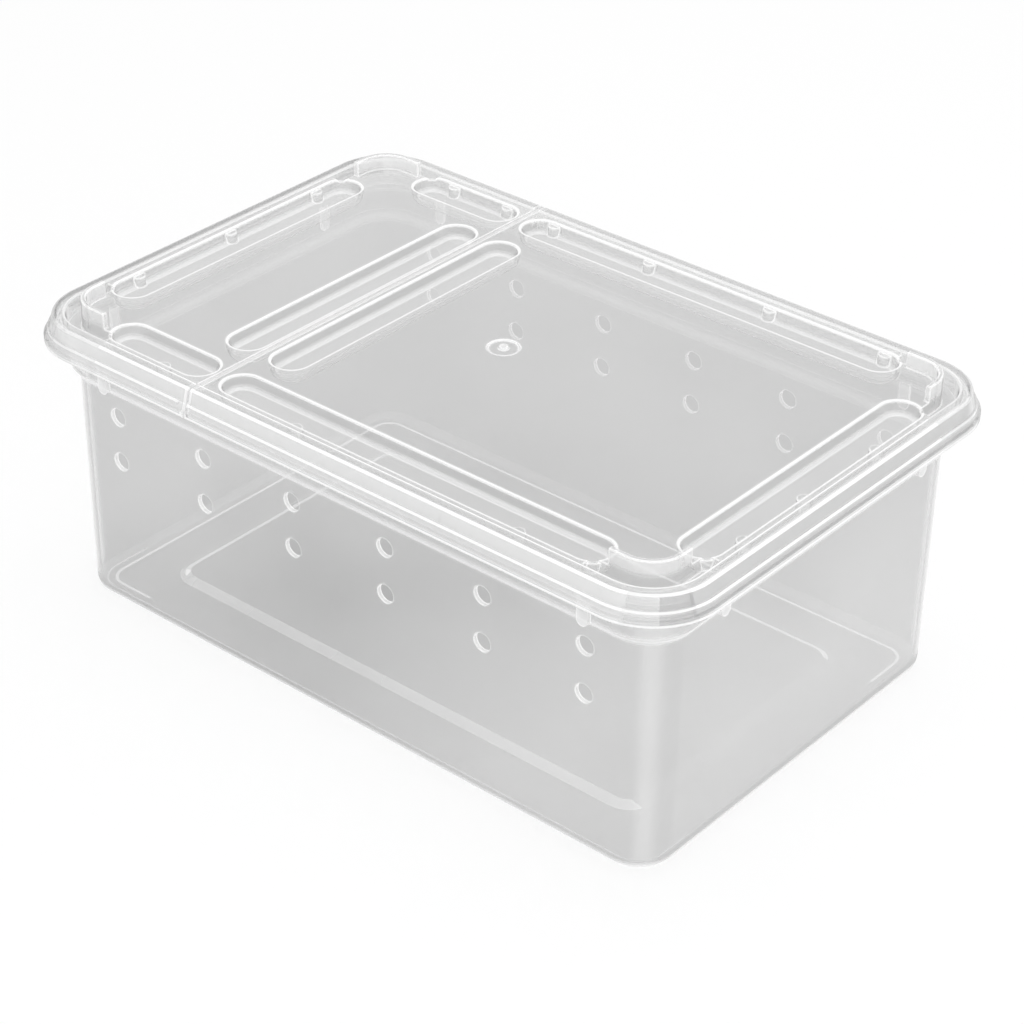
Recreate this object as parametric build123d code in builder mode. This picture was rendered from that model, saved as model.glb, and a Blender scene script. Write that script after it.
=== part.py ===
from build123d import *
from math import cos, pi, radians, sin
import os

# Stackable plastic rearing box: a vented tub, and a lid that snaps over its rim.
# The lid is parted by a film hinge into a large leaf and a feeding flap.
# All sizes are in millimetres. The origin is at the centre of the base, +Z is up,
# +X runs along the box away from the flap, and the long walls face -Y and +Y.

# Overall sizes
lid_length = 190.0
lid_width = 126.0
tub_height = 73.6

# Walls and clearances
tub_wall = 1.1
tub_rim_wall = 0.8
tub_floor = 1.2
lid_wall = 0.8
lid_sheet = 0.9
fit_gap = 0.3

# Outline of the lid's rim, which every other outline follows at an inset
skirt_flare = 1.85
lip_proud = 0.4
rim_corner = 15.0
rim_half_x = lid_length / 2 - skirt_flare - lip_proud
rim_half_y = lid_width / 2 - skirt_flare - lip_proud

# Tub: insets of the outside face from the lid's rim outline, and the heights where it changes
tub_rim_inset = lid_wall + fit_gap
wall_inset = 5.45
wall_draft = 0.4
collar_depth = 2.1
shoulder_low_z = 58.7
shoulder_high_z = 62.2
collar_top_z = 66.8
rim_low_z = 69.8
base_edge_radius = 3.0
rim_bead_proud = 0.35
rim_bead_z = 72.2
rim_bead_height = 1.0

# Tub: raised floor panel with sloping sides
floor_panel_length = 139.0
floor_panel_width = 75.0
floor_panel_corner = 4.0
floor_panel_step = 0.8
floor_panel_slope = 2.6

# Tub: round vent holes in both long walls
vent_diameter = 4.6
vent_columns = 6
vent_pitch = 27.7
vent_low_z = 41.3
vent_high_z = 53.3

# Tub: small upright ribs under the rim that keep nested tubs apart
nest_rib_width = 3.0
nest_rib_proud = 0.9
nest_rib_low_z = 60.3
nest_rib_x = 70.5
nest_rib_y = 36.0

# Lid: levels and skirt
rim_rise = 0.4
skirt_drop = 6.6
rim_edge_radius = 0.5
edge_break = 0.2
cut_past = 1.0
bead_drop = 3.1
bead_height = 1.1
bead_proud = 0.35
lip_height = 1.4
plug_depth = 4.6
plug_draft = 0.3

# Lid: upright ribs inside the skirt
skirt_rib_width = 2.6
skirt_rib_pitch = 35.5
skirt_rib_low_z = 70.5
snap_height = 0.4

# Lid: sunken troughs with round ends
trough_width = 9.2
trough_depth = 3.2
trough_draft = 0.4
trough_foot_radius = 1.2
trough_edge = 0.25
trough_side_inset = 4.9
trough_end_y = 40.2
flap_trough_start_x = -71.7
flap_trough_end_x = -40.9
panel_trough_start_x = -36.5
panel_trough_end_x = 71.7
flap_hinge_trough_x = -45.4
panel_hinge_trough_x = -31.9

# Lid: corner channels and the stacking lugs beside them
channel_width = 3.7
channel_start_x = 69.5
channel_start_y = 38.2
lug_wall = 1.3
lug_start_x = 73.4
lug_start_y = 42.9
lug_height = 3.9

# Lid: upright half-round pads on the troughs' outer walls, and the gate mark
pad_radius = 1.7
pad_drop = 0.6
front_pads_x = [-52.0, -11.3, 51.5]
back_pads_x = [-63.5, -46.1, -31.1, -1.6, 33.8, 65.9]
right_pads_y = [-28.0, -6.8, 19.8]
left_pads_y = [-29.7, 0.7, 30.7]
gate_ring_diameter = 7.4
gate_ring_depth = 0.3
gate_nub_diameter = 2.2
gate_nub_height = 0.35

# Film hinge between the flap and the large leaf
hinge_x = -38.9
film_width = 1.4
film_thickness = 0.4
slit_width = 0.6
bead_stop = 2.5

# Steps that every curved wall is made of
curve_steps = 7

os.makedirs("parts", exist_ok=True)

lid_top_z = tub_height + fit_gap + lid_sheet
panel_top_z = lid_top_z - rim_rise
panel_under_z = panel_top_z - lid_sheet
skirt_low_z = lid_top_z - skirt_drop
plug_low_z = lid_top_z - plug_depth
plug_inset = tub_rim_inset + tub_rim_wall + fit_gap
ledge_inset = plug_inset + lid_wall
long_trough_y = rim_half_y - trough_side_inset - trough_width / 2
short_trough_x = rim_half_x - trough_side_inset - trough_width / 2
lug_inset = ledge_inset + channel_width


def outline(z, inset):
    """Rounded rectangle at height z, inset from the lid's rim outline."""
    with BuildSketch(Plane.XY.offset(z)) as face:
        RectangleRounded(2 * (rim_half_x - inset), 2 * (rim_half_y - inset), rim_corner - inset)
    return face.sketch


def stack(levels):
    """One outline for each (height, inset) pair, ready to loft."""
    return [outline(z, inset) for z, inset in levels]


def ease(low_z, low_inset, high_z, high_inset):
    """Levels of a smooth S-shaped change of inset between two heights."""
    levels = []
    for step in range(curve_steps + 1):
        share = step / curve_steps
        blend = (1 - cos(pi * share)) / 2
        levels.append((low_z + share * (high_z - low_z), low_inset + blend * (high_inset - low_inset)))
    return levels


def quarter(radius):
    """Steps of a quarter round, as (along, across) pairs from (0, 0) to (radius, radius)."""
    steps = []
    for step in range(curve_steps + 1):
        angle = radians(90 * step / curve_steps)
        steps.append((radius * sin(angle), radius * (1 - cos(angle))))
    return steps


def tub_levels(inward, floor_z, radius, rim_inset, top_z):
    """Levels of the tub's wall, moved inward by a wall thickness for its inside face."""
    base = wall_inset + wall_draft + inward
    wall = wall_inset + inward
    collar = wall - collar_depth
    levels = [(floor_z + rise, base + radius - along) for along, rise in quarter(radius)]
    levels += ease(shoulder_low_z, wall, shoulder_high_z, collar)
    levels += ease(collar_top_z, collar, rim_low_z, rim_inset)
    levels += [(top_z, rim_inset)]
    return levels


def panel_outlines(foot_z):
    """Outlines of the floor panel's foot and top, with the foot at a height."""
    outlines = []
    for rise, spread in ((0, floor_panel_slope), (floor_panel_step, 0)):
        length = floor_panel_length + 2 * spread
        width = floor_panel_width + 2 * spread
        with BuildSketch(Plane.XY.offset(foot_z + rise)) as face:
            RectangleRounded(length, width, floor_panel_corner + spread)
        outlines.append(face.sketch)
    return outlines


def slot(centre_x, centre_y, z, length, width, angle):
    """Round-ended slot at height z."""
    with BuildSketch(Plane(origin=(centre_x, centre_y, z))) as face:
        SlotOverall(length, width, rotation=angle)
    return face.sketch


def trough(place, top_levels, thickness):
    """Slots for one trough, from its top levels as (depth, inward) pairs down round its foot.

    A thickness gives the outside of the trough's shell in place of its inside.
    """
    centre_x, centre_y, length, angle = place
    radius = trough_foot_radius + thickness
    levels = list(top_levels)
    for along, across in quarter(radius):
        levels.append((trough_depth + thickness - radius + along, trough_draft - thickness + across))
    faces = []
    for depth, inward in levels:
        z = panel_top_z - depth
        faces.append(slot(centre_x, centre_y, z, length - 2 * inward, trough_width - 2 * inward, angle))
    return faces


def flare(drop):
    """How far the skirt has moved outward at a drop below the lid's top."""
    return skirt_flare * drop / skirt_drop


def corner_blocks(start_x, start_y):
    """Four blocks that hold the lid's corners outside the given distances from the centre."""
    size_x = rim_half_x - start_x
    size_y = rim_half_y - start_y
    with BuildPart() as blocks:
        with GridLocations(2 * start_x + size_x, 2 * start_y + size_y, 2, 2):
            with Locations((0, 0, lid_top_z)):
                Box(size_x, size_y, 4 * plug_depth)
    return blocks.part


# Tub: one shell with a stepped wall, a collar and a beaded rim
tub_outside = tub_levels(0, 0, base_edge_radius, tub_rim_inset, tub_height)
bead_low = rim_bead_z - rim_bead_height / 2
bead_high = rim_bead_z + rim_bead_height / 2
bead_inset = tub_rim_inset - rim_bead_proud
bead_levels = [
    (bead_low, tub_rim_inset),
    (bead_low + edge_break, bead_inset),
    (bead_high - edge_break, bead_inset),
    (bead_high, tub_rim_inset),
]
tub_outside = tub_outside[:-1] + bead_levels + tub_outside[-1:]
inside_radius = base_edge_radius - tub_wall
inside_rim_inset = tub_rim_inset + tub_rim_wall
tub_inside = tub_levels(tub_wall, tub_floor, inside_radius, inside_rim_inset, tub_height + cut_past)
nest_rib_inset = wall_inset - collar_depth - nest_rib_proud
nest_rib_height = rim_low_z - nest_rib_low_z - nest_rib_width / 2
nest_rib_mid_z = rim_low_z - nest_rib_height / 2

with BuildPart() as tub:
    loft(sections=stack(tub_outside), ruled=True)
    for rib_plane, rib_place, reach in (
        (Plane.XZ, nest_rib_x, rim_half_y - nest_rib_inset),
        (Plane.YZ, nest_rib_y, rim_half_x - nest_rib_inset),
    ):
        with BuildSketch(rib_plane):
            with Locations((-rib_place, nest_rib_mid_z), (rib_place, nest_rib_mid_z)):
                Rectangle(nest_rib_width, nest_rib_height)
            low_end = nest_rib_low_z + nest_rib_width / 2
            with Locations((-rib_place, low_end), (rib_place, low_end)):
                Circle(nest_rib_width / 2)
        extrude(amount=reach, both=True)
    loft(sections=stack(tub_inside), ruled=True, mode=Mode.SUBTRACT)
    loft(sections=panel_outlines(0), ruled=True, mode=Mode.SUBTRACT)
    loft(sections=panel_outlines(tub_floor), ruled=True)
    with BuildSketch(Plane.XZ):
        with Locations((0, (vent_low_z + vent_high_z) / 2)):
            with GridLocations(vent_pitch, vent_high_z - vent_low_z, vent_columns, 2):
                Circle(vent_diameter / 2)
    extrude(amount=lid_width, both=True, mode=Mode.SUBTRACT)

tub.part.label = "tub"
export_step(tub.part, "parts/tub.step")

# Lid cavity: the space inside the skirt, narrowed by the snap ring and the upright ribs
snap_inset = tub_rim_inset - rim_bead_proud - fit_gap
snap_low_z = skirt_rib_low_z
snap_high_z = snap_low_z + snap_height
lid_under_z = lid_top_z - lid_sheet
cavity_levels = []
for z in (skirt_low_z - cut_past, snap_low_z - snap_height):
    cavity_levels.append((z, lid_wall - flare(lid_top_z - z)))
cavity_levels += [(snap_low_z, snap_inset), (snap_high_z, snap_inset)]
for z in (snap_high_z + snap_height, lid_under_z):
    cavity_levels.append((z, lid_wall - flare(lid_top_z - z)))
rib_count = int((rim_half_x + skirt_rib_pitch) // skirt_rib_pitch)
skirt_ribs_x = [skirt_rib_pitch * (count - 1) for count in range(rib_count)]
rib_span = lid_under_z - snap_low_z

with BuildPart() as lid_cavity:
    loft(sections=stack(cavity_levels), ruled=True)
    rib_places = []
    for rib_x in skirt_ribs_x:
        for side in (-1, 1):
            rib_y = side * (rim_half_y - snap_inset + skirt_flare)
            rib_places.append((rib_x, rib_y, lid_under_z - rib_span / 2))
    with Locations(*rib_places):
        Box(skirt_rib_width, 2 * skirt_flare, rib_span, mode=Mode.SUBTRACT)

# Lid as moulded, before it is parted at the film hinge
lip_inset = -skirt_flare - lip_proud
skirt_levels = [
    (skirt_low_z, lip_inset + edge_break),
    (skirt_low_z + edge_break, lip_inset),
    (skirt_low_z + lip_height, lip_inset),
    (skirt_low_z + lip_height + edge_break, -flare(skirt_drop - lip_height - edge_break)),
]
plain_levels = list(skirt_levels)
for drop, proud in (
    (bead_drop + bead_height, 0),
    (bead_drop + bead_height - edge_break, bead_proud),
    (bead_drop + edge_break, bead_proud),
    (bead_drop, 0),
):
    skirt_levels.append((lid_top_z - drop, -flare(drop) - proud))
top_levels = []
for along, inward in quarter(rim_edge_radius):
    drop = rim_edge_radius - along
    top_levels.append((lid_top_z - drop, inward - flare(drop)))
skirt_levels += top_levels
plain_levels += top_levels

flap_length = flap_trough_end_x - flap_trough_start_x
flap_middle = (flap_trough_end_x + flap_trough_start_x) / 2
panel_length = panel_trough_end_x - panel_trough_start_x
panel_middle = (panel_trough_end_x + panel_trough_start_x) / 2
troughs = []
for side in (-1, 1):
    troughs.append((flap_middle, side * long_trough_y, flap_length, 0))
    troughs.append((panel_middle, side * long_trough_y, panel_length, 0))
for trough_x in (-short_trough_x, flap_hinge_trough_x, panel_hinge_trough_x, short_trough_x):
    troughs.append((trough_x, 0, 2 * trough_end_y, 90))

pad_line_y = long_trough_y + trough_width / 2
pad_line_x = short_trough_x + trough_width / 2
pads = [(x, -pad_line_y) for x in front_pads_x]
pads += [(x, pad_line_y) for x in back_pads_x]
pads += [(pad_line_x, y) for y in right_pads_y]
pads += [(-pad_line_x, y) for y in left_pads_y]

channel_floor_z = plug_low_z + lid_sheet

with BuildPart() as channel_shell:
    loft(sections=stack([(plug_low_z, plug_inset + plug_draft), (panel_under_z, plug_inset)]), ruled=True)
    inner_levels = [(plug_low_z, lug_inset + lug_wall), (panel_under_z, lug_inset + lug_wall)]
    loft(sections=stack(inner_levels), ruled=True, mode=Mode.SUBTRACT)
    add(corner_blocks(channel_start_x - lid_wall, channel_start_y - lid_wall), mode=Mode.INTERSECT)

with BuildPart() as channel_cut:
    loft(sections=stack([(channel_floor_z, ledge_inset + plug_draft), (lid_top_z, ledge_inset)]), ruled=True)
    loft(sections=stack([(channel_floor_z, lug_inset), (lid_top_z, lug_inset)]), ruled=True, mode=Mode.SUBTRACT)
    add(corner_blocks(channel_start_x, channel_start_y), mode=Mode.INTERSECT)

with BuildPart() as lugs:
    lug_top_z = panel_top_z + lug_height
    lug_outside = [
        (channel_floor_z, lug_inset),
        (lug_top_z - edge_break, lug_inset),
        (lug_top_z, lug_inset + edge_break),
    ]
    lug_inside = [
        (channel_floor_z, lug_inset + lug_wall),
        (lug_top_z - edge_break, lug_inset + lug_wall),
        (lug_top_z, lug_inset + lug_wall - edge_break),
    ]
    loft(sections=stack(lug_outside), ruled=True)
    loft(sections=stack(lug_inside), ruled=True, mode=Mode.SUBTRACT)
    add(corner_blocks(lug_start_x, lug_start_y), mode=Mode.INTERSECT)

with BuildPart() as lid:
    loft(sections=stack(skirt_levels), ruled=True)
    add(lid_cavity.part, mode=Mode.SUBTRACT)
    loft(sections=stack([(panel_under_z, plug_inset), (lid_under_z, plug_inset)]), ruled=True)
    loft(sections=stack([(plug_low_z, plug_inset + plug_draft), (panel_under_z, plug_inset)]), ruled=True)
    hollow_levels = [(plug_low_z, ledge_inset + plug_draft), (panel_under_z, ledge_inset)]
    loft(sections=stack(hollow_levels), ruled=True, mode=Mode.SUBTRACT)
    recess_levels = [(panel_top_z, ledge_inset), (lid_top_z, ledge_inset - rim_rise / 2)]
    loft(sections=stack(recess_levels), ruled=True, mode=Mode.SUBTRACT)
    add(channel_shell.part)
    add(channel_cut.part, mode=Mode.SUBTRACT)
    for place in troughs:
        loft(sections=trough(place, [(lid_sheet / 2, -lid_wall)], lid_wall), ruled=True)
    for place in troughs:
        mouth = [(-rim_rise, -trough_edge), (0, -trough_edge), (trough_edge, 0)]
        loft(sections=trough(place, mouth, 0), ruled=True, mode=Mode.SUBTRACT)
    add(lugs.part)
    with BuildSketch(Plane.XY.offset(panel_top_z - trough_depth)):
        with Locations(*pads):
            Circle(pad_radius)
    extrude(amount=trough_depth - pad_drop)
    with BuildSketch(Plane.XY.offset(panel_top_z)):
        Circle(gate_ring_diameter / 2)
    extrude(amount=-gate_ring_depth, mode=Mode.SUBTRACT)
    with BuildSketch(Plane.XY.offset(panel_top_z - gate_ring_depth)):
        Circle(gate_nub_diameter / 2)
    extrude(amount=gate_ring_depth + gate_nub_height)

# The two leaves: a narrow slit through rim and skirt, and a wider gap that the film spans
film_half_y = rim_half_y - lid_wall
gap_height = skirt_drop + rim_rise

with BuildPart() as lid_main_panel:
    add(lid.part)
    split(bisect_by=Plane.YZ.offset(hinge_x + slit_width / 2), keep=Keep.TOP)
    with Locations((hinge_x, 0, lid_top_z - gap_height / 2 + rim_rise)):
        Box(film_width, 2 * film_half_y, gap_height, mode=Mode.SUBTRACT)

lid_main_panel.part.label = "lid_main_panel"
export_step(lid_main_panel.part, "parts/lid_main_panel.step")

# The flap's skirt bead stops short of the slit
with BuildPart() as bead_trim:
    with Locations((hinge_x - bead_stop / 2, 0, lid_top_z - skirt_drop / 2)):
        Box(bead_stop, lid_width, skirt_drop)
    loft(sections=stack(plain_levels), ruled=True, mode=Mode.SUBTRACT)

with BuildPart() as lid_flap:
    add(lid.part)
    split(bisect_by=Plane.YZ.offset(hinge_x - slit_width / 2), keep=Keep.BOTTOM)
    with Locations((hinge_x, 0, lid_top_z - gap_height / 2 + rim_rise)):
        Box(film_width, 2 * film_half_y, gap_height, mode=Mode.SUBTRACT)
    add(bead_trim.part, mode=Mode.SUBTRACT)

lid_flap.part.label = "lid_flap"
export_step(lid_flap.part, "parts/lid_flap.step")

# Film hinge: a thin web between the two leaves
with BuildPart() as film_hinge:
    with Locations((hinge_x, 0, panel_top_z - film_thickness / 2)):
        Box(film_width, 2 * film_half_y, film_thickness)

film_hinge.part.label = "film_hinge"
export_step(film_hinge.part, "parts/film_hinge.step")
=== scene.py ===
import math
import bpy
from mathutils import Matrix, Vector


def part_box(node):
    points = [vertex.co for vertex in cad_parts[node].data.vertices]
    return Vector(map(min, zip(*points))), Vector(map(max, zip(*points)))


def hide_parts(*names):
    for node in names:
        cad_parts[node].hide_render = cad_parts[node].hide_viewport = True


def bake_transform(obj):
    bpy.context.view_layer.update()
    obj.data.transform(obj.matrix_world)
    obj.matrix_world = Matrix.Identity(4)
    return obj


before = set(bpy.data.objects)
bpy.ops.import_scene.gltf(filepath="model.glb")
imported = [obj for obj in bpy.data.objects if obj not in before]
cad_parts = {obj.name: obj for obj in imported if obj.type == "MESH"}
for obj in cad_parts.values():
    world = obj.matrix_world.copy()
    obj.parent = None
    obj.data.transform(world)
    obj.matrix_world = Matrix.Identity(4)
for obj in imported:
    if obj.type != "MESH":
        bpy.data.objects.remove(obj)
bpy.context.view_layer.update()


def linearColour(hexColour):  # sRGB hex to the linear values that a shader takes
    channels = [int(hexColour[i:i + 2], 16) / 255 for i in (1, 3, 5)]
    return [c / 12.92 if c <= 0.04045 else ((c + 0.055) / 1.055) ** 2.4 for c in channels] + [1.0]


def addNode(tree, kind, *inputs, **settings):  # inputs come in order, or as one dictionary by name or number
    node = tree.nodes.new("ShaderNode" + kind)
    for name, value in settings.items():
        setattr(node, name, value)
    named = inputs[0] if inputs and isinstance(inputs[0], dict) else dict(enumerate(inputs))
    for name, value in named.items():
        if isinstance(value, bpy.types.Node):
            value = value.outputs[0]
        if isinstance(value, bpy.types.NodeSocket):
            tree.links.new(value, node.inputs[name])
        else:
            node.inputs[name].default_value = value
    return node


def emptyMaterial(name):
    material = bpy.data.materials.new(name)
    material.use_nodes = True
    material.node_tree.nodes.clear()
    return material


def mouldedPolypropylene(name, look):
    material = emptyMaterial(name)
    tree = material.node_tree
    coordinates = addNode(tree, "TexCoord").outputs
    geometry = addNode(tree, "NewGeometry").outputs
    path = addNode(tree, "LightPath").outputs

    def product(*values):
        result = values[0]
        for value in values[1:]:
            result = addNode(tree, "Math", result, value, operation="MULTIPLY")
        return result

    def rest(*values):  # what the product of the values leaves of 1
        return addNode(tree, "Math", 1.0, product(*values), operation="SUBTRACT")

    def eased(value, limits, low=0.0, high=1.0):  # low at the first limit, high at the second
        return addNode(tree, "MapRange", value, *limits, low, high, interpolation_type="SMOOTHSTEP")

    def area(where):  # 1 where each measure lies inside its limits, and 0 elsewhere
        sides = []
        for measure, limits in where.items():
            sides.append(eased(measures[measure], limits[:2]))
            if len(limits) == 4:
                sides.append(eased(measures[measure], limits[:1:-1]))
        return product(*sides)

    # place on the moulding, in millimetres, with both long walls and both ends folded on to each other
    place = addNode(tree, "VectorMath", coordinates["Object"], (1000, 1000, 1000), operation="MULTIPLY").outputs[0]
    spot = addNode(tree, "SeparateXYZ", place).outputs
    mirrored = addNode(tree, "VectorMath", place, operation="ABSOLUTE")
    folded = addNode(tree, "SeparateXYZ", mirrored).outputs
    beyond = addNode(tree, "VectorMath", mirrored, (*look["straightMm"], 0), operation="SUBTRACT")
    beyond = addNode(tree, "VectorMath", beyond, (0, 0, 0), operation="MAXIMUM")
    outward = addNode(tree, "VectorMath", beyond, (1, 1, 0), operation="MULTIPLY")
    reach = addNode(tree, "VectorMath", outward, operation="LENGTH").outputs["Value"]
    sides = addNode(tree, "SeparateXYZ", outward).outputs
    corner = addNode(tree, "Math", sides["X"], sides["Y"], operation="MINIMUM")
    fromAxis = addNode(tree, "VectorMath", place, (1, 1, 0), operation="MULTIPLY")
    radius = addNode(tree, "VectorMath", fromAxis, operation="LENGTH").outputs["Value"]
    turned = addNode(tree, "VectorMath", coordinates["Normal"], operation="ABSOLUTE")
    turned = addNode(tree, "SeparateXYZ", turned).outputs
    farEnd = addNode(tree, "Math", spot["X"], look["farMm"][0], operation="LESS_THAN")
    farWall = addNode(tree, "Math", spot["Y"], look["farMm"][1], operation="GREATER_THAN")
    farSide = addNode(tree, "Math", farWall, farEnd, operation="MAXIMUM")
    measures = {
        "x": spot["X"], "y": spot["Y"], "height": spot["Z"], "eitherX": folded["X"], "eitherY": folded["Y"],
        "reach": reach, "corner": corner, "radius": radius,  # out from the straight outline, and from the middle
        "level": turned["Z"], "sideways": turned["Y"],  # which way a face is turned
        "farSide": farSide, "crossed": path["Transparent Depth"],  # faces that the ray has passed
    }
    nearest = None
    for along, aside, centre, offset, half in look["troughs"]:  # distance from the middle line of each trough
        run = addNode(tree, "Math", measures[along], centre, operation="SUBTRACT")
        run = addNode(tree, "Math", run, operation="ABSOLUTE")
        run = addNode(tree, "Math", run, half, operation="SUBTRACT")
        run = addNode(tree, "Math", run, 0.0, operation="MAXIMUM")
        across = addNode(tree, "Math", measures[aside], offset, operation="SUBTRACT")
        gap = addNode(tree, "CombineXYZ", run, across)
        gap = addNode(tree, "VectorMath", gap, operation="LENGTH").outputs["Value"]
        nearest = gap if nearest is None else addNode(tree, "Math", nearest, gap, operation="MINIMUM")
    measures["fromTrough"] = nearest

    # haze: the clear plastic is a little milkier here and there at random; the areas add more white opacity, partly
    # as haze and partly as painted highlight on bends, corners and edges
    noise = addNode(tree, "TexNoise", {
        "Vector": place, "Scale": 1 / look["hazeSizeMm"], "Detail": 1.0, "Roughness": 0.5})
    thin, thick = (look["cover"] * (1 + side * look["hazeDepth"]) for side in (-1, 1))
    cover = addNode(tree, "MapRange", noise, *look["hazeNoise"], thin, thick)
    for share, where in look["areas"].values():
        cover = addNode(tree, "Math", cover, product(area(where), share), operation="ADD")
    # painted highlights: white lines run round the whole moulding, each at one point of its profile
    profile = addNode(tree, "CombineXYZ", {0: reach, 2: measures["height"]})
    for lineReach, lineHeight, width, nearShare, farShare in look["lines"].values():
        gap = addNode(tree, "VectorMath", profile, (lineReach, 0, lineHeight), operation="DISTANCE").outputs["Value"]
        share = addNode(tree, "Math", farSide, farShare - nearShare, nearShare, operation="MULTIPLY_ADD")
        line = product(eased(gap, (width / 2, width / 4)), share)
        cover = addNode(tree, "Math", cover, line, operation="ADD")

    # edges: painted highlight; where two faces meet the plastic is made whiter and more opaque and given a faint
    # painted glow, most of all on the side towards the eye
    rounded = addNode(tree, "Bevel", {"Radius": look["edgeWidthMm"] / 1000}, samples=look["edgeSamples"])
    alike = addNode(tree, "VectorMath", rounded, geometry["Normal"], operation="DOT_PRODUCT").outputs["Value"]
    edge = addNode(tree, "MapRange", alike, *look["edgeTurn"], 0.0, look["edgeCover"])
    if look["vents"]:  # painted highlight: bores are whitened, and their rims show as crescents on the side towards a fixed light direction
        vents = look["vents"]
        fromVent = []
        for measure, (first, half) in vents["gridMm"].items():
            across = addNode(tree, "Math", measures[measure], first, operation="SUBTRACT")
            fromVent.append(addNode(tree, "Math", across, half, -half, operation="WRAP"))
        fromVent = addNode(tree, "CombineXYZ", {0: fromVent[0], 2: fromVent[1]})
        measures["fromVent"] = addNode(tree, "VectorMath", fromVent, operation="LENGTH").outputs["Value"]
        vent = area(vents["where"])
        pointing = addNode(tree, "VectorMath", fromVent, operation="NORMALIZE")
        pointing = addNode(tree, "VectorMath", pointing, vents["light"], operation="DOT_PRODUCT").outputs["Value"]
        lit = eased(pointing, vents["litFrom"], vents["shade"], 1.0)
        bore = product(vent, area(vents["boreWhere"]), vents["bore"])
        edge = addNode(tree, "Math", edge, bore, operation="MAXIMUM")
        edge = product(edge, rest(vent, rest(lit)))
    layers = addNode(tree, "Math", look["edgeFade"], path["Transparent Depth"], operation="POWER")
    rimShare = eased(reach, look["rimEdgeMm"], 1.0, look["rimEdge"])
    edge = product(edge, rimShare, rest(geometry["Backfacing"], look["edgeHidden"]), layers)

    # gloss: painted reflection of the room, more white opacity the flatter the surface is seen, whichever side faces
    # the eye, and less near the foot
    facing = addNode(tree, "LayerWeight", {"Blend": 0.5, "Normal": rounded}).outputs["Facing"]
    gloss = product(
        eased(facing, look["glossFacing"], 0.0, look["glossShare"]),
        eased(measures["height"], look["glossFootMm"], look["glossFoot"], 1.0),
        rest(geometry["Backfacing"], look["glossHidden"]))
    milky = addNode(tree, "Math", edge, cover, operation="MAXIMUM")
    opacity = addNode(tree, "Math", milky, gloss, operation="ADD", use_clamp=True)

    # colour: painted shade, greyer in outline where refraction darkens a grazing view, on the rim's outside seen
    # from within, and on trough walls turned from the light
    colour = linearColour(look["colour"])
    if look["outlineShare"]:
        grey = linearColour(look["outlineShadeColour"])
        outline = eased(facing, look["outlineFacing"], 0.0, look["outlineShare"])
        outer = addNode(tree, "VectorMath", coordinates["Normal"], outward, operation="DOT_PRODUCT").outputs["Value"]
        outer = addNode(tree, "Math", outer, 0.0, operation="GREATER_THAN")
        behind = product(geometry["Backfacing"], outer, area(look["behindWhere"]), look["behind"])
        opacity = addNode(tree, "Math", opacity, product(behind, look["behindCover"]), operation="ADD")
        opacity = addNode(tree, "Math", opacity, 1.0, operation="MINIMUM")
        bright = addNode(tree, "Math", product(edge, look["sunkEdge"]), 1.0, operation="MINIMUM")
        sunk = product(area(look["sunkWhere"]), rest(bright))
        for share, tint in ((outline, grey), (behind, grey), (sunk, linearColour(look["sunkShadeColour"]))):
            colour = addNode(tree, "Mix", {0: share, 6: colour, 7: tint}, data_type="RGBA").outputs[2]

    # met by light on its way to other surfaces, the plastic is clearer still
    passing = addNode(tree, "Math", path["Is Shadow Ray"], path["Is Diffuse Ray"], operation="MAXIMUM")
    clearer = product(opacity, look["shadowShare"])
    alpha = addNode(tree, "Mix", {0: passing, 2: opacity, 3: clearer}, data_type="FLOAT")
    # mould finish: a faint orange peel under the gloss
    peel = addNode(tree, "TexNoise", {"Vector": place, "Scale": 1 / look["peelSizeMm"], "Detail": 1.0})
    bump = addNode(tree, "Bump", {
        "Strength": look["peelStrength"], "Distance": look["peelDepthMm"] / 1000, "Height": peel})
    # painted glow: the edges emit a little white light
    shader = addNode(tree, "BsdfPrincipled", {
        "Base Color": colour, "Roughness": look["roughness"], "IOR": look["ior"], "Emission Color": (1, 1, 1, 1),
        "Emission Strength": product(edge, look["paintedEdgeGlow"]), "Alpha": alpha, "Normal": bump})
    addNode(tree, "OutputMaterial", {"Surface": shader})
    return material


# Clear polypropylene, injection moulded in a polished tool; reads as pale grey haze with white edges.
# The grey is painted shade on the room seen through it, and the white edges are painted highlights.
# Each area has the white opacity that it adds, as haze and in places as painted highlight, and the limits of the
# measures that it lies between: with two limits it starts at the first and is full from the second, and with four it
# ends again between the last two. A line has its reach, height and width, and the painted highlight that it adds on
# the near and on the far side.
upright = (0.75, 0.4)  # how level a face is where it starts to count as a wall, and where it does in full
plasticLook = {
    "colour": "#fafafa", "roughness": 0.2, "ior": 1.49, "shadowShare": 0.35,
    "hazeNoise": (0.3, 0.7), "hazeDepth": 0.3,
    # the edge entries set the painted highlight along edges, and paintedEdgeGlow its painted glow
    "edgeSamples": 3, "edgeTurn": (0.995, 0.965), "edgeCover": 0.95, "edgeHidden": 0.7, "edgeFade": 0.72,
    "paintedEdgeGlow": 0.12,
    # the gloss entries set the painted reflection at a grazing view
    "glossFacing": (0.46, 1.0), "glossShare": 0.85, "glossHidden": 0.6, "glossFootMm": (3, 6), "glossFoot": 0.1,
    "peelSizeMm": 1.6, "peelDepthMm": 0.02, "peelStrength": 0.2,
    "straightMm": (77.75, 45.75), "farMm": (-68, 36),  # straight part of the outline, and where the far side starts
}
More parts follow.
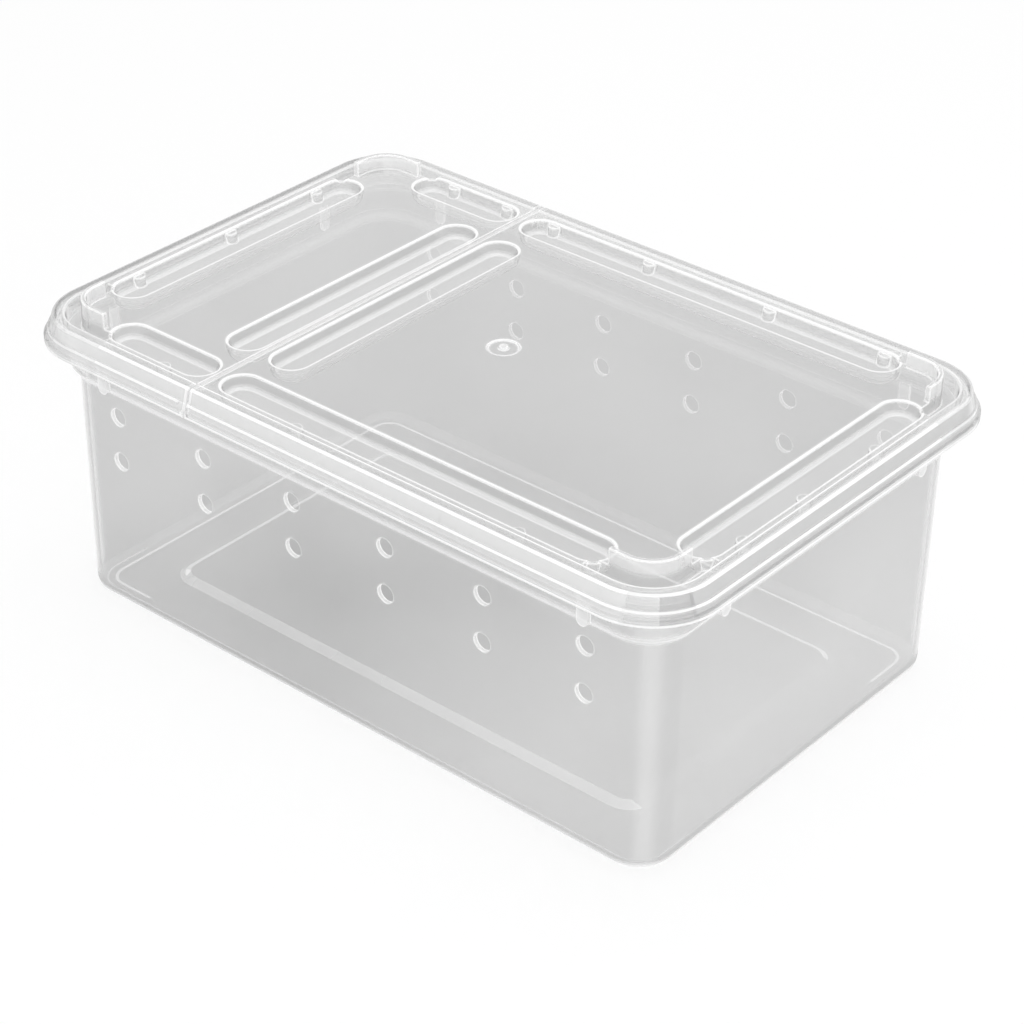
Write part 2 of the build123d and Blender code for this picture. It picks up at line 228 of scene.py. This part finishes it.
# Tub: thicker walls, so a little milkier
floorSlope = {"height": (1.0, 1.1, 2.1, 2.2), "level": (0.88, 0.92, 0.97, 0.985)}
tubLook = dict(
    plasticLook, cover=0.055, hazeSizeMm=38, edgeWidthMm=0.5, rimEdgeMm=(11.8, 12.2), rimEdge=0.35,
    # the foot line is a painted highlight low down round the wall, on the far side only
    outlineShare=0.0, troughs=(), lines={"foot": (4.6, 1.2, 1.0, 0.0, 0.45)},
    areas={
        # painted highlights: shoulder along the shoulder bend, corners down the vertical corners, the floor slopes
        # along the floor step, and foot on the rounded base where it is first seen
        "shoulder": (0.1, {"height": (59.0, 59.8, 60.2, 61.2)}),
        "rim": (0.05, {"reach": (10.3, 13.3)}),
        "corners": (0.12, {"level": upright, "corner": (3.3, 6.2), "crossed": (1.6, 1.4)}),
        "floorSlopeNear": (0.2, dict(floorSlope, y=(-36, -36.1))),
        "floorSlopeFar": (0.4, dict(floorSlope, farSide=(0, 1), height=(1.5, 1.65, 2.1, 2.2))),
        "floorSlope": (0.02, floorSlope),
        "nestRibs": (0.3, {"reach": (11.8, 12.1), "height": (67, 66.5)}),
        "foot": (0.85, {"height": (3.2, 0.7), "reach": (7.9, 8.1), "crossed": (0.6, 0.4)}),
    },
    vents={
        "gridMm": {"x": (13.85, 13.85), "height": (41.3, 6)},  # first vent, and half the way to the next
        # painted highlight: the fixed light direction, where the rims are lit in full, and how much stays on the
        # shaded side
        "light": (-0.85, 0, -0.53), "litFrom": (-0.6, 0.5), "shade": 0.12,
        "bore": 0.5, "boreWhere": {"sideways": (0.6, 0.4)},
        "where": {"fromVent": (3.4, 3.3), "eitherX": (76, 75), "reach": (6, 7), "height": (34, 35, 59, 60)},
    })
# Lid: thinner sheet, with painted highlights as white lines along the rim's edges. A trough has the measure that it
# runs along and the one across it, then its centre, its place across and half its straight length in millimetres.
lidLook = dict(
    plasticLook, cover=0.028, hazeSizeMm=30, edgeWidthMm=0.7, rimEdgeMm=(11.3, 11.6), rimEdge=0.3, vents=None,
    # painted shade: grey in outline, on the rim's outside seen from within, and on the sunk trough walls
    outlineShare=0.9, outlineShadeColour="#7c7c7c", outlineFacing=(0.7, 0.95),
    behind=0.85, behindCover=0.4, behindWhere={"reach": (13.6, 14.2)},
    sunkShadeColour="#b4b4b4", sunkEdge=3.0,
    sunkWhere={"level": upright, "height": (71, 71.4, 74.1, 74.3), "reach": (11, 10.5)},
    troughs=(
        ("x", "eitherY", -56.3, 51.25, 10.8), ("x", "eitherY", 17.6, 51.25, 49.5), ("y", "eitherX", 0, 83.25, 35.6),
        ("y", "x", 0, -45.4, 35.6), ("y", "x", 0, -31.9, 35.6)),
    areas={
        "walls": (0.05, {"level": upright}),
        "skirt": (0.19, {"level": upright, "reach": (13.8, 14.4)}),
        "skirtCorners": (-0.24, {"reach": (13.8, 14.4), "corner": (4.8, 5.2)}),
        "lugs": (0.2, {"level": upright, "height": (74.9, 75.1)}),
        "rim": (0.08, {"reach": (9.8, 11.3)}),
        "troughFloors": (0.12, {"height": (71.1, 71.15, 71.3, 71.35), "reach": (11, 10.5)}),
        # troughFeet and troughLips are painted highlights along the trough floors' edges and the troughs' top edges
        "troughFeet": (0.33, {
            "height": (71.1, 71.2, 71.5, 71.8), "level": (0.35, 0.6, 0.97, 0.995), "reach": (11, 10.5)}),
        "troughLips": (0.65, {"fromTrough": (4.6, 4.8, 5.25, 5.5), "height": (74.2, 74.3, 74.5, 74.6)}),
        "gateRing": (0.35, {"height": (73.8, 73.9), "radius": (2.9, 3.3, 3.9, 4.3)}),
        "gateNub": (0.35, {"height": (73.8, 73.9), "radius": (1.3, 0.9)}),
        "slit": (0.4, {"x": (-40.1, -39.9, -37.9, -37.7), "reach": (11, 11.3)}),
    },
    # the lines are painted highlights along the rim's edges, the bead and the lip
    lines={
        "rimInner": (12.2, 74.8, 1.2, 0.72, 0.396), "rimOuter": (14.8, 74.7, 1.1, 0.72, 0.396),
        "bead": (16.35, 71.4, 0.9, 0.72, 0.396), "lip": (17.25, 68.6, 1.1, 0.72, 0.396),
    })
# Film hinge: the same plastic, drawn thin and a little white from flexing
filmLook = dict(
    lidLook, cover=0.2, edgeWidthMm=0.15, behind=0.0, troughs=(), lines={},
    areas={"foldedUp": (0.2, {"level": upright, "height": (74.9, 75.1)})})
tubMaterial = mouldedPolypropylene("mouldedPolypropyleneTub", tubLook)
lidMaterial = mouldedPolypropylene("mouldedPolypropyleneLid", lidLook)
filmMaterial = mouldedPolypropylene("flexedPolypropyleneFilm", filmLook)
for nodeName, material in (("tub", tubMaterial), ("lid_main_panel", lidMaterial), ("lid_flap", lidMaterial)):
    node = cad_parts[nodeName]
    node.data.materials.clear()
    node.data.materials.append(material)
print("plastic ready")

# Film hinge: the thin web that the flap swings on, thinnest along its middle
film = {"strips": 14, "rows": 24, "thinning": 0.35}
low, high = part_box("film_hinge")
centreX = (low.x + high.x) / 2
halfWidth = (high.x - low.x) / 2
thickness = high.z - low.z
verts, faces = [], []
columns = film["strips"] + 1
for row in range(film["rows"] + 1):
    y = low.y + (high.y - low.y) * row / film["rows"]
    for column in range(columns):
        share = 2 * column / film["strips"] - 1
        waist = film["thinning"] * (1 - share * share) / 2 * thickness
        verts.append((centreX + share * halfWidth, y, high.z - waist))
        verts.append((centreX + share * halfWidth, y, low.z + waist))
for row in range(film["rows"]):
    for column in range(film["strips"]):
        a = 2 * (row * columns + column)  # a and b on one row, c and d on the next, each with its underside after it
        b = a + 2
        c = a + 2 * columns
        d = c + 2
        faces.append((a, b, d, c))
        faces.append((a + 1, c + 1, d + 1, b + 1))
        if row == 0:
            faces.append((a, a + 1, b + 1, b))
        if row == film["rows"] - 1:
            faces.append((c, d, d + 1, c + 1))
    for column in (0, film["strips"]):
        a = 2 * (row * columns + column)
        c = a + 2 * columns
        faces.append((a, c, c + 1, a + 1) if column == 0 else (a, a + 1, c + 1, c))
mesh = bpy.data.meshes.new("filmHingeWeb")
mesh.from_pydata(verts, [], faces)
mesh.validate()
mesh.materials.append(filmMaterial)
filmHinge = bpy.data.objects.new("filmHingeWeb", mesh)
bpy.context.scene.collection.objects.link(filmHinge)
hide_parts("film_hinge")
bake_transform(filmHinge)
print("film hinge ready")

# Room: white paper floor and white walls, painted grey as shade where they are seen through the plastic
stage = {
    "size": 6.0, "sunk": 0.0002, "floorColour": "#f4f4f4", "shadowShare": 0.35, "worldLight": 0.85,
    "throughPlastic": "#c4c4c4", "paintedShadowMiddle": "#a8a8a8", "middle": (-0.035, -0.02, 0), "middleReach": 0.075,
}
softboxes = {
    "topSoftbox": {"place": (0.1, 0.1, 1.1), "size": (1.0, 0.8), "watts": 3.5},
    "cornerSoftbox": {"place": (1.0, -0.7, 0.5), "size": (0.5, 0.7), "watts": 2.5},
}
softboxAim = (0, 0, 0.04)


def addSeenColour(tree, shade):  # how much a ray sees the room itself, and the colour it then meets, painted grey as shade behind the plastic
    path = addNode(tree, "LightPath").outputs
    seen = addNode(tree, "Math", path["Is Camera Ray"], path["Is Glossy Ray"], operation="MAXIMUM")
    seen = addNode(tree, "Math", seen, path["Is Transmission Ray"], operation="MAXIMUM")
    through = addNode(tree, "Math", path["Transparent Depth"], 0.5, operation="GREATER_THAN")
    through = addNode(tree, "Math", through, seen, operation="MULTIPLY")
    colour = addNode(tree, "Mix", {0: through, 6: (1, 1, 1, 1), 7: shade}, data_type="RGBA").outputs[2]
    return seen, colour


# White paper, matt; shows as plain white with a soft shadow, and behind the plastic a painted grey shade with a
# painted shadow darkest through the middle of the box
floorMaterial = emptyMaterial("whitePaperSweep")
tree = floorMaterial.node_tree
ground = addNode(tree, "TexCoord").outputs["Object"]
away = addNode(tree, "VectorMath", ground, stage["middle"], operation="DISTANCE").outputs["Value"]
away = addNode(tree, "Math", away, stage["middleReach"], operation="DIVIDE")
# painted shadow: seen through the plastic the paper is greyer towards the middle of the box
shade = addNode(tree, "Mix", {
    0: away, 6: linearColour(stage["paintedShadowMiddle"]), 7: linearColour(stage["throughPlastic"])}, data_type="RGBA")
seen, colour = addSeenColour(tree, shade.outputs[2])
paperColour = addNode(tree, "Mix", {
    0: 1.0, 6: linearColour(stage["floorColour"]), 7: colour}, data_type="RGBA", blend_type="MULTIPLY")
paper = addNode(tree, "BsdfDiffuse", {"Color": paperColour.outputs[2]})
glow = addNode(tree, "Emission", {"Color": colour, "Strength": 1.0})
share = addNode(tree, "Math", seen, 1 - stage["shadowShare"], operation="MULTIPLY")
addNode(tree, "OutputMaterial", {"Surface": addNode(tree, "MixShader", share, paper, glow)})
half = stage["size"] / 2
floorMesh = bpy.data.meshes.new("floorSheet")
floorMesh.from_pydata([(-half, -half, 0), (half, -half, 0), (half, half, 0), (-half, half, 0)], [], [(0, 1, 2, 3)])
floorMesh.materials.append(floorMaterial)
floor = bpy.data.objects.new("floorSheet", floorMesh)
floor.location.z = -stage["sunk"]  # just clear of the base
bpy.context.scene.collection.objects.link(floor)

world = bpy.data.worlds.new("whiteRoom")
bpy.context.scene.world = world
world.use_nodes = True
tree = world.node_tree
tree.nodes.clear()
# painted shade: seen through the plastic, the white room is grey
seen, colour = addSeenColour(tree, linearColour(stage["throughPlastic"]))
light = addNode(tree, "Background", {"Color": (1, 1, 1, 1), "Strength": stage["worldLight"]})
white = addNode(tree, "Background", {"Color": colour, "Strength": 1.0})
addNode(tree, "OutputWorld", {"Surface": addNode(tree, "MixShader", seen, light, white)})

for name, softbox in softboxes.items():
    lamp = bpy.data.lights.new(name, "AREA")
    lamp.shape = "RECTANGLE"
    lamp.size, lamp.size_y = softbox["size"]
    lamp.energy = softbox["watts"]
    box = bpy.data.objects.new(name, lamp)
    box.location = softbox["place"]
    box.rotation_euler = (Vector(softboxAim) - Vector(softbox["place"])).to_track_quat("-Z", "Y").to_euler()
    bpy.context.scene.collection.objects.link(box)
print("stage ready")

# Camera: long lens from the front right, a little above
view = {  # degrees, metres and millimetres
    "azimuth": 39.846, "elevation": 32.335, "roll": 0.86, "distance": 0.72106,
    "target": (-0.028894, 0.038455, 0), "lens": 99.733, "sensor": 36,
}
azimuth, elevation, roll = (math.radians(view[key]) for key in ("azimuth", "elevation", "roll"))
flat = math.cos(elevation)
back = Vector((math.sin(azimuth) * flat, -math.cos(azimuth) * flat, math.sin(elevation)))
level = Vector((math.cos(azimuth), math.sin(azimuth), 0))
upward = back.cross(level)
right = math.cos(roll) * level + math.sin(roll) * upward
camera = bpy.data.objects.new("camera", bpy.data.cameras.new("camera"))
camera.data.lens = view["lens"]
camera.data.sensor_width = view["sensor"]
camera.matrix_world = Matrix((right, back.cross(right), back)).transposed().to_4x4()
camera.location = Vector(view["target"]) + back * view["distance"]
bpy.context.scene.collection.objects.link(camera)
bpy.context.scene.camera = camera

bpy.context.scene.view_settings.view_transform = "Standard"
bounces = {"max_bounces": 4, "diffuse_bounces": 1, "glossy_bounces": 2, "transparent_max_bounces": 40}
for bounce, count in bounces.items():  # many thin walls stand behind one another
    setattr(bpy.context.scene.cycles, bounce, count)
print("camera ready")
